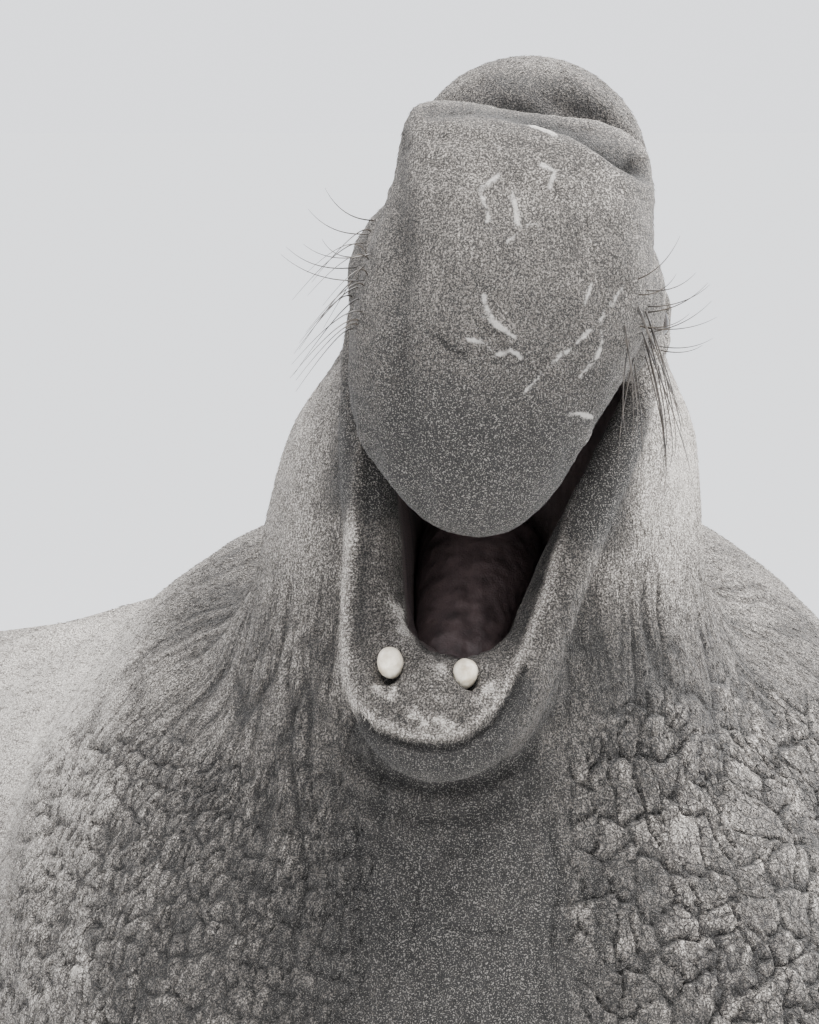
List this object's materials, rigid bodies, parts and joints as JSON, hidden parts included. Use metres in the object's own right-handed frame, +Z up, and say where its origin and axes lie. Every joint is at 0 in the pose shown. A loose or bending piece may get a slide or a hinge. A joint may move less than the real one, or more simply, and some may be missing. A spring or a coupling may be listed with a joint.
{
  "type": "elephant seal model",
  "caption": "Life-size model of a bull elephant seal, chest raised, head thrown back, mouth open wide, nose hanging over the gape.",
  "frame": {"origin": "on the floor under the middle of the whole animal", "axes": "+Z up, +Y from the face towards the tail, the face looks along -Y, and the trunk swings towards -X behind the shoulders"},
  "size_m": [2.8484, 3.9034, 1.5147],
  "materials": {
    "coat": "short flat fur over creased hide, matte with damp patches",
    "mouth_lining": "moist dark lining",
    "eye": "wet gloss, nearly black",
    "tooth": "worn cream ivory"
  },
  "bodies": {
    "root": {"head": "coat", "proboscis": "coat", "whisker_pad_left": "coat", "whisker_pad_right": "coat", "neck": "coat", "lower_jaw": "coat", "lips": "coat", "chest": "coat", "trunk": "coat", "hindquarters": "coat", "tail": "coat", "fore_flipper_left": "coat", "fore_flipper_right": "coat", "hind_flipper_left": "coat", "hind_flipper_right": "coat", "tongue": "mouth_lining", "eye_left": "eye", "eye_right": "eye", "lower_canine_left": "tooth", "lower_canine_right": "tooth"}
  },
  "joints": []
}
